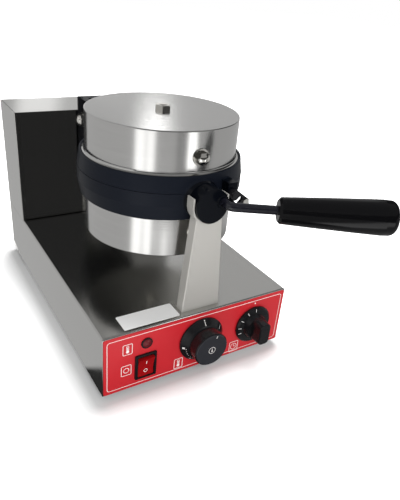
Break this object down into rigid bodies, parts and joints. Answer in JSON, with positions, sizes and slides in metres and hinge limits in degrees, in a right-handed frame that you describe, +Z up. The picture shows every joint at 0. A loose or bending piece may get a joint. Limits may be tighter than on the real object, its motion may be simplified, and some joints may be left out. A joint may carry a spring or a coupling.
{
  "type": "rotating waffle maker",
  "caption": "Countertop waffle iron: a round hinged pair of grid plates turns between a front post and a rear tower, with a side handle and red control panel.",
  "frame": {"origin": "on the table under the middle of the casing's footprint", "axes": "+X to the user's right, +Y to the tower at the back, +Z up"},
  "size_m": [0.2988, 0.5173, 0.2996],
  "materials": {
    "case_steel": "brushed stainless sheet",
    "tower_steel": "brushed stainless sheet",
    "panel_red": "gloss red with a thin white outline",
    "casting_black": "satin black coated casting",
    "yoke_black": "satin black",
    "cover_steel": "circumferentially brushed stainless",
    "bright_steel": "bright zinc and nickel fasteners",
    "shaft_steel": "ground steel",
    "heater_steel": "heat-darkened tube",
    "wool": "mineral wool",
    "bronze": "sintered bronze",
    "black_gloss": "glossy black phenolic",
    "black_plastic": "satin black plastic",
    "rubber": "black rubber",
    "lamp_red": "dark red translucent lens",
    "rocker_red": "glossy red",
    "terminal_white": "off-white"
  },
  "bodies": {
    "frame": {"base_housing": "case_steel", "base_floor": "case_steel", "feet": "rubber", "foot_screws": "bright_steel", "control_panel": "panel_red", "tower_wrap": "tower_steel", "tower_side_left": "tower_steel", "tower_side_right": "tower_steel", "tower_back": "tower_steel", "tower_screws": "bright_steel", "cable_gland": "black_plastic", "front_post": "case_steel", "post_saddle": "case_steel", "post_bolts": "bright_steel", "bearing_bush": "bronze", "bearing_housing": "casting_black", "bearing_bracket": "case_steel", "bearing_bolts": "bright_steel", "pilot_body": "black_plastic", "pilot_lens": "lamp_red", "rocker_frame": "black_plastic", "thermostat_body": "black_plastic", "timer_body": "black_plastic", "terminal_block": "terminal_white"},
    "lower_head": {"lower_casting": "casting_black", "lower_cover": "cover_steel", "lower_heater": "heater_steel", "lower_clamp": "shaft_steel", "lower_insulation": "wool", "lower_stud": "bright_steel", "lower_cover_nut": "bright_steel", "lower_front_nut": "bright_steel", "rear_yoke": "yoke_black", "yoke_screws": "bright_steel", "hinge_bolt": "shaft_steel", "hinge_nuts": "bright_steel", "rotor_shaft": "shaft_steel", "thrust_washer": "bronze", "stop_collar": "shaft_steel", "latch_pin_stud": "bright_steel"},
    "lid": {"upper_casting": "casting_black", "upper_cover": "cover_steel", "upper_heater": "heater_steel", "upper_clamp": "shaft_steel", "upper_insulation": "wool", "upper_stud": "bright_steel", "upper_cover_nut": "bright_steel", "upper_front_nut": "bright_steel", "lid_arm": "yoke_black", "lid_arm_screws": "bright_steel", "handle_rod": "casting_black", "handle_grip": "black_gloss", "latch_pivot_screw": "bright_steel"},
    "latch": {"latch_lever": "casting_black", "latch_finger_screw": "bright_steel"},
    "thermostat_knob": {"thermostat_knob": "black_gloss", "thermostat_spindle": "shaft_steel"},
    "timer_knob": {"timer_knob": "black_gloss", "timer_spindle": "shaft_steel"},
    "rocker": {"rocker": "rocker_red"}
  },
  "joints": [
    {"name": "head_rotation", "type": "hinge", "parent": "frame", "child": "lower_head", "pos_m": [0.002, -0.068, 0.22], "axis": [0, 1, 0], "range_deg": [-180, 0]},
    {"name": "lid_open", "type": "hinge", "parent": "lower_head", "child": "lid", "pos_m": [0.002, 0.09, 0.242], "axis": [-1, 0, 0], "range_deg": [0, 90]},
    {"name": "latch_swing", "type": "hinge", "parent": "lid", "child": "latch", "pos_m": [0.035, -0.1795, 0.226], "axis": [0, 1, 0], "range_deg": [-30, 54]},
    {"name": "thermostat_turn", "type": "hinge", "parent": "frame", "child": "thermostat_knob", "pos_m": [0, -0.1958, 0.0505], "axis": [0, 1, 0], "range_deg": [0, 270]},
    {"name": "timer_turn", "type": "hinge", "parent": "frame", "child": "timer_knob", "pos_m": [0.0775, -0.1958, 0.048], "axis": [0, 1, 0], "range_deg": [0, 300]},
    {"name": "rocker_tilt", "type": "hinge", "parent": "frame", "child": "rocker", "pos_m": [-0.073, -0.1918, 0.036], "axis": [-1, 0, 0], "range_deg": [0, 16]}
  ]
}
